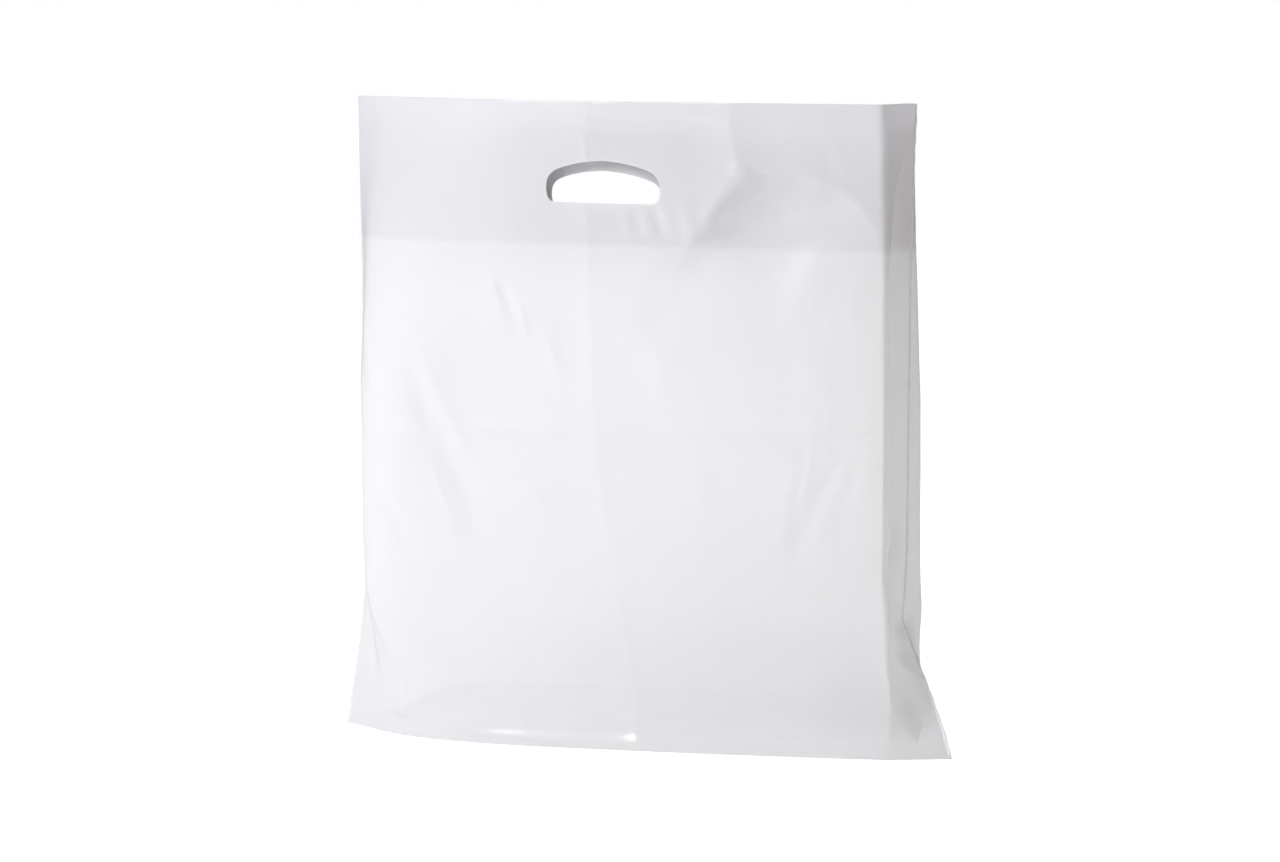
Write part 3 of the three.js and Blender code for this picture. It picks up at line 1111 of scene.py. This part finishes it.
@dataclass(frozen=True)
class FilmFinish:
    """Glossy white blown film that lets some light through.

    Its surface has the fine haze of blown film, faint draw lines along it, and patches a little duller than
    others. Where the film lies double, its colour and the light through it are greyed: painted shade for the
    light that the second layer keeps out.
    """

    name: str
    tint: tuple[float, float, float]
    cloud: tuple[float, float, float]
    glow: tuple[float, float, float]
    see_through: float
    dull: tuple[float, float]
    grain: float
    doubled: tuple[tuple[float, float], ...] = ()
    # Painted shade: the doubled film's colour and see-through light are greyed to this tint.
    doubled_shade_tint: tuple[float, float, float] = (0.95, 0.948, 0.956)
    clouds: FilmPattern = FilmPattern(7.0, 4.0)
    cloud_span: tuple[float, float] = (0.35, 0.7)
    patches: FilmPattern = FilmPattern(12.0, 6.0)
    patch_span: tuple[float, float] = (0.3, 0.75)
    haze: FilmPattern = FilmPattern(420.0, 380.0, 2.0)
    haze_depth: float = 0.0004
    draw_lines: FilmPattern = FilmPattern(260.0, 7.0)
    draw_line_depth: float = 0.0005
    relief: float = 0.06
    refraction: float = 1.5
    length: float = FLAT_SIZE[1]

    def material(self) -> bpy.types.Material:
        """The finish as a node material.

        Returns:
            The material.
        """
        material = bpy.data.materials.new(self.name)
        material.use_nodes = True
        tree = material.node_tree
        tree.nodes.clear()
        place = tree.nodes.new("ShaderNodeUVMap")
        place.uv_map = "film"
        out = tree.nodes.new("ShaderNodeOutputMaterial")
        gloss = tree.nodes.new("ShaderNodeBsdfPrincipled")
        through = tree.nodes.new("ShaderNodeBsdfTranslucent")
        mix = tree.nodes.new("ShaderNodeMixShader")
        mix.inputs["Fac"].default_value = self.see_through
        tree.links.new(gloss.outputs["BSDF"], mix.inputs[1])
        tree.links.new(through.outputs["BSDF"], mix.inputs[2])
        tree.links.new(mix.outputs["Shader"], out.inputs["Surface"])
        clouds = self.noise(tree, place, self.clouds)
        colour = self.ramp(tree, clouds, self.cloud_span, self.tint, self.cloud)
        # Where the film lies double, painted shade greys its colour and the light through it.
        if self.doubled:
            layers = self.layers(tree, place)
            tree.links.new(self.multiply(tree, colour, layers), gloss.inputs["Base Color"])
            tree.links.new(self.multiply(tree, layers, layers), through.inputs["Color"])
        else:
            tree.links.new(colour, gloss.inputs["Base Color"])
            through.inputs["Color"].default_value = (*self.glow, 1.0)
        patches = self.noise(tree, place, self.patches)
        dullness = self.ramp(tree, patches, self.patch_span, (self.dull[0],) * 3, (self.dull[1],) * 3)
        tree.links.new(dullness, gloss.inputs["Roughness"])
        gloss.inputs["IOR"].default_value = self.refraction
        haze = self.noise(tree, place, self.haze)
        lines = self.noise(tree, place, self.draw_lines)
        fine = self.bump(tree, haze, self.haze_depth, None)
        both = self.bump(tree, lines, self.draw_line_depth, fine)
        tree.links.new(both, gloss.inputs["Normal"])
        tree.links.new(both, through.inputs["Normal"])
        return material

    def layers(self, tree: bpy.types.NodeTree, place: bpy.types.Node) -> bpy.types.NodeSocket:
        """A tint of painted shade, greyer where the film lies double, by the distance along the film.

        Args:
            tree: The material's nodes.
            place: The node that gives the film places.

        Returns:
            The tint's socket.
        """
        mapping = tree.nodes.new("ShaderNodeMapping")
        mapping.inputs["Scale"].default_value = (1.0, 1.0 / self.length, 1.0)
        apart = tree.nodes.new("ShaderNodeSeparateXYZ")
        ramp = tree.nodes.new("ShaderNodeValToRGB")
        tree.links.new(place.outputs["UV"], mapping.inputs["Vector"])
        tree.links.new(mapping.outputs["Vector"], apart.inputs["Vector"])
        tree.links.new(apart.outputs["Y"], ramp.inputs["Fac"])
        doubled, single = (*self.doubled_shade_tint, 1.0), (*self.glow, 1.0)
        stops = ramp.color_ramp.elements
        stops[0].color = doubled
        stops[1].color = doubled
        for (start, end), (first, second) in zip(self.doubled, ((doubled, single), (single, doubled))):
            stops.new(start / self.length).color = first
            stops.new(end / self.length).color = second
        return ramp.outputs["Color"]

    def multiply(
        self, tree: bpy.types.NodeTree, first: bpy.types.NodeSocket, second: bpy.types.NodeSocket
    ) -> bpy.types.NodeSocket:
        """Two colours multiplied together.

        Args:
            tree: The material's nodes.
            first: One colour's socket.
            second: The other colour's socket.

        Returns:
            The product's socket.
        """
        product = tree.nodes.new("ShaderNodeMix")
        product.data_type = "RGBA"
        product.blend_type = "MULTIPLY"
        product.inputs["Factor"].default_value = 1.0
        colours = [socket for socket in product.inputs if socket.type == "RGBA"]
        tree.links.new(first, colours[0])
        tree.links.new(second, colours[1])
        return [socket for socket in product.outputs if socket.type == "RGBA"][0]

    def noise(
        self, tree: bpy.types.NodeTree, place: bpy.types.Node, pattern: FilmPattern
    ) -> bpy.types.NodeSocket:
        """A noise pattern on the film's own places.

        Args:
            tree: The material's nodes.
            place: The node that gives the film places.
            pattern: The pattern.

        Returns:
            The pattern's value socket.
        """
        mapping = tree.nodes.new("ShaderNodeMapping")
        mapping.inputs["Scale"].default_value = (pattern.across, pattern.along, 1.0)
        texture = tree.nodes.new("ShaderNodeTexNoise")
        texture.inputs["Scale"].default_value = 1.0
        texture.inputs["Detail"].default_value = pattern.detail
        tree.links.new(place.outputs["UV"], mapping.inputs["Vector"])
        tree.links.new(mapping.outputs["Vector"], texture.inputs["Vector"])
        return texture.outputs["Fac"]

    def ramp(
        self,
        tree: bpy.types.NodeTree,
        value: bpy.types.NodeSocket,
        span: tuple[float, float],
        first: tuple[float, float, float],
        second: tuple[float, float, float],
    ) -> bpy.types.NodeSocket:
        """A colour that runs from first to second as a value runs over a span.

        Args:
            tree: The material's nodes.
            value: The value's socket.
            span: The value at the first colour and at the second.
            first: The first colour.
            second: The second colour.

        Returns:
            The colour's socket.
        """
        ramp = tree.nodes.new("ShaderNodeValToRGB")
        ramp.color_ramp.elements[0].position = span[0]
        ramp.color_ramp.elements[1].position = span[1]
        ramp.color_ramp.elements[0].color = (*first, 1.0)
        ramp.color_ramp.elements[1].color = (*second, 1.0)
        tree.links.new(value, ramp.inputs["Fac"])
        return ramp.outputs["Color"]

    def bump(
        self,
        tree: bpy.types.NodeTree,
        value: bpy.types.NodeSocket,
        depth: float,
        under: bpy.types.NodeSocket | None,
    ) -> bpy.types.NodeSocket:
        """A relief from a value, on top of another relief if there is one.

        Args:
            tree: The material's nodes.
            value: The value's socket.
            depth: The relief's depth in metres.
            under: The other relief, or None.

        Returns:
            The relief's socket.
        """
        bump = tree.nodes.new("ShaderNodeBump")
        bump.inputs["Strength"].default_value = self.relief * self.grain
        bump.inputs["Distance"].default_value = depth
        tree.links.new(value, bump.inputs["Height"])
        if under is not None:
            tree.links.new(under, bump.inputs["Normal"])
        return bump.outputs["Normal"]


@dataclass(frozen=True)
class WeldFinish:
    """The same film melted together: a little clearer, greyer and smoother."""

    name: str = "melted_film"
    tint: tuple[float, float, float] = (0.74, 0.74, 0.76)
    pale: tuple[float, float, float] = (0.86, 0.86, 0.88)
    dull: float = 0.22
    mottle: float = 160.0

    def material(self) -> bpy.types.Material:
        """The finish as a node material.

        Returns:
            The material.
        """
        material = bpy.data.materials.new(self.name)
        material.use_nodes = True
        tree = material.node_tree
        gloss = tree.nodes["Principled BSDF"]
        place = tree.nodes.new("ShaderNodeTexCoord")
        texture = tree.nodes.new("ShaderNodeTexNoise")
        texture.inputs["Scale"].default_value = self.mottle
        ramp = tree.nodes.new("ShaderNodeValToRGB")
        ramp.color_ramp.elements[0].color = (*self.tint, 1.0)
        ramp.color_ramp.elements[1].color = (*self.pale, 1.0)
        tree.links.new(place.outputs["Object"], texture.inputs["Vector"])
        tree.links.new(texture.outputs["Fac"], ramp.inputs["Fac"])
        tree.links.new(ramp.outputs["Color"], gloss.inputs["Base Color"])
        gloss.inputs["Roughness"].default_value = self.dull
        return material


# ----------------------------------------------------------------------------------------------------------
# Studio
# ----------------------------------------------------------------------------------------------------------


@dataclass(frozen=True)
class SoftLamp:
    """One soft square lamp that faces the bag's middle.

    Its azimuth is in degrees from straight in front, to the right positive, and its elevation in degrees
    above the bag's middle. The size of its sides is in metres, and its power in watts.
    """

    name: str
    azimuth: float
    elevation: float
    size: float
    power: float
    colour: tuple[float, float, float]


LAMPS: tuple[SoftLamp, ...] = (
    SoftLamp("key_softbox", -31.0, 33.0, 1.2, 60.0, (1.0, 0.99, 0.99)),
    SoftLamp("right_softbox", 50.0, 25.0, 1.2, 5.0, (0.8, 1.0, 0.8)),
    SoftLamp("side_softbox", 88.0, 20.0, 1.2, 14.0, (1.0, 0.83, 0.85)),
    SoftLamp("rear_softbox", -135.0, 35.0, 1.2, 32.0, (0.95, 1.0, 0.98)),
    SoftLamp("window_strip", -42.0, 4.0, 1.3, 4.5, (0.8, 0.7, 1.0)),
)


@dataclass
class Studio:
    """A plain white floor, soft lights and the camera. Lengths are in metres, and angles in degrees."""

    camera_azimuth: float = 15.73
    camera_distance: float = 2.5
    camera_height: float = 0.557
    camera_pitch: float = 7.22
    camera_aside: float = -0.0026
    lens: float = 92.73
    sensor_width: float = 36.0
    farthest_seen: float = 60.0
    floor_size: float = 12.0
    floor_seen: tuple[float, float] = (0.3, 0.98)
    floor_lit: tuple[float, float] = (0.9, 0.08)
    matt: float = 0.9
    sky_colour: tuple[float, float, float] = (0.97, 0.98, 1.0)
    sky_strength: float = 0.12
    lamp_distance: float = 2.6
    aim_height: float = 0.25

    def build(self) -> None:
        """Makes the floor, the lights, the surroundings and the camera."""
        self.floor()
        self.surroundings()
        for lamp in LAMPS:
            self.lamp(lamp)
        self.camera()

    def floor(self) -> None:
        """A white floor: bright to the camera, and softer in what it throws back on the bag."""
        shape = bmesh.new()
        bmesh.ops.create_grid(shape, x_segments=2, y_segments=2, size=self.floor_size / 2)
        floor = new_object("studio_floor", shape)
        material = bpy.data.materials.new("studio_white")
        material.use_nodes = True
        tree = material.node_tree
        tree.nodes.clear()
        out = tree.nodes.new("ShaderNodeOutputMaterial")
        seen = self.white(tree, *self.floor_seen)
        lit = self.white(tree, *self.floor_lit)
        self.by_ray(tree, seen.outputs["BSDF"], lit.outputs["BSDF"], out)
        floor.data.materials.append(material)

    def by_ray(
        self,
        tree: bpy.types.NodeTree,
        seen: bpy.types.NodeSocket,
        lit: bpy.types.NodeSocket,
        out: bpy.types.Node,
    ) -> None:
        """Shows the camera one shader, and lights the bag with another.

        Args:
            tree: The nodes.
            seen: The shader that the camera sees.
            lit: The shader that lights the bag.
            out: The output node.
        """
        mix = tree.nodes.new("ShaderNodeMixShader")
        path = tree.nodes.new("ShaderNodeLightPath")
        tree.links.new(path.outputs["Is Camera Ray"], mix.inputs["Fac"])
        tree.links.new(lit, mix.inputs[1])
        tree.links.new(seen, mix.inputs[2])
        tree.links.new(mix.outputs["Shader"], out.inputs["Surface"])

    def white(self, tree: bpy.types.NodeTree, reflected: float, glow: float) -> bpy.types.Node:
        """A matt white surface with a glow of its own.

        Args:
            tree: The material's nodes.
            reflected: The share of the light that it throws back.
            glow: The strength of its own light.

        Returns:
            The surface's node.
        """
        surface = tree.nodes.new("ShaderNodeBsdfPrincipled")
        surface.inputs["Base Color"].default_value = (reflected, reflected, reflected, 1.0)
        surface.inputs["Roughness"].default_value = self.matt
        surface.inputs["Specular IOR Level"].default_value = 0.0
        surface.inputs["Emission Color"].default_value = (1.0, 1.0, 1.0, 1.0)
        surface.inputs["Emission Strength"].default_value = glow
        return surface

    def surroundings(self) -> None:
        """Even white light from all round."""
        world = bpy.data.worlds.new("studio_surroundings")
        world.use_nodes = True
        tree = world.node_tree
        tree.nodes.clear()
        out = tree.nodes.new("ShaderNodeOutputWorld")
        lit = tree.nodes.new("ShaderNodeBackground")
        seen = tree.nodes.new("ShaderNodeBackground")
        lit.inputs["Color"].default_value = (*self.sky_colour, 1.0)
        lit.inputs["Strength"].default_value = self.sky_strength
        seen.inputs["Color"].default_value = (1.0, 1.0, 1.0, 1.0)
        seen.inputs["Strength"].default_value = 1.0
        self.by_ray(tree, seen.outputs["Background"], lit.outputs["Background"], out)
        bpy.context.scene.world = world

    def lamp(self, lamp: SoftLamp) -> None:
        """Puts one lamp in its place.

        Args:
            lamp: The lamp.
        """
        turn, rise = math.radians(lamp.azimuth), math.radians(lamp.elevation)
        target = Vector((0.0, 0.0, self.aim_height))
        way = Vector((math.cos(rise) * math.sin(turn), -math.cos(rise) * math.cos(turn), math.sin(rise)))
        light = bpy.data.lights.new(lamp.name, "AREA")
        light.size = lamp.size
        light.energy = lamp.power
        light.color = lamp.colour
        holder = bpy.data.objects.new(lamp.name, light)
        holder.location = target + way * self.lamp_distance
        holder.rotation_euler = (-way).to_track_quat("-Z", "Y").to_euler()
        bpy.context.scene.collection.objects.link(holder)

    def camera(self) -> None:
        """The camera, front right of the bag and a little above it."""
        turn = math.radians(self.camera_azimuth)
        data = bpy.data.cameras.new("camera")
        data.lens = self.lens
        data.sensor_width = self.sensor_width
        data.clip_end = self.farthest_seen
        camera = bpy.data.objects.new("camera", data)
        camera.location = (
            self.camera_distance * math.sin(turn) + self.camera_aside * math.cos(turn),
            -self.camera_distance * math.cos(turn) + self.camera_aside * math.sin(turn),
            self.camera_height,
        )
        camera.rotation_euler = (math.radians(90.0 - self.camera_pitch), 0.0, turn)
        bpy.context.scene.collection.objects.link(camera)
        bpy.context.scene.camera = camera
        bpy.context.scene.view_settings.view_transform = "Standard"


def dress(piece: bpy.types.Object, material: bpy.types.Material) -> None:
    """Gives a piece its one material."""
    piece.data.materials.clear()
    piece.data.materials.append(material)


def main() -> None:
    """Builds the bag and its studio."""
    logging.basicConfig(level=logging.INFO, format="%(name)s: %(message)s")
    Studio().build()
    film = FilmFinish(
        "white_film",
        tint=(0.862, 0.865, 0.882),
        cloud=(0.852, 0.855, 0.874),
        glow=(1.0, 1.0, 1.0),
        see_through=0.4,
        dull=(0.14, 0.2),
        grain=1.0,
        # Where the painted shade of the doubled film starts and ends, in metres along the film.
        doubled=((0.2192, 0.2204), (1.0996, 1.1008)),
    )
    patch_film = FilmFinish(
        "patch_film",
        tint=(0.84, 0.843, 0.862),
        cloud=(0.83, 0.833, 0.855),
        glow=(0.88, 0.87, 0.87),
        see_through=0.36,
        dull=(0.2, 0.26),
        grain=0.8,
    )
    bag = FilmSheet(BagForm(), HandHole())
    sheet = bag.build()
    dress(sheet, film.material())
    patch_material = patch_film.material()
    for side in Side:
        patch = HandlePatch(bag, side).build()
        dress(patch, patch_material)
    weld_material = WeldFinish().material()
    for right in (False, True):
        weld = SideWeld(bag.form, right).build()
        dress(weld, weld_material)


if __name__ == "__main__":
    main()
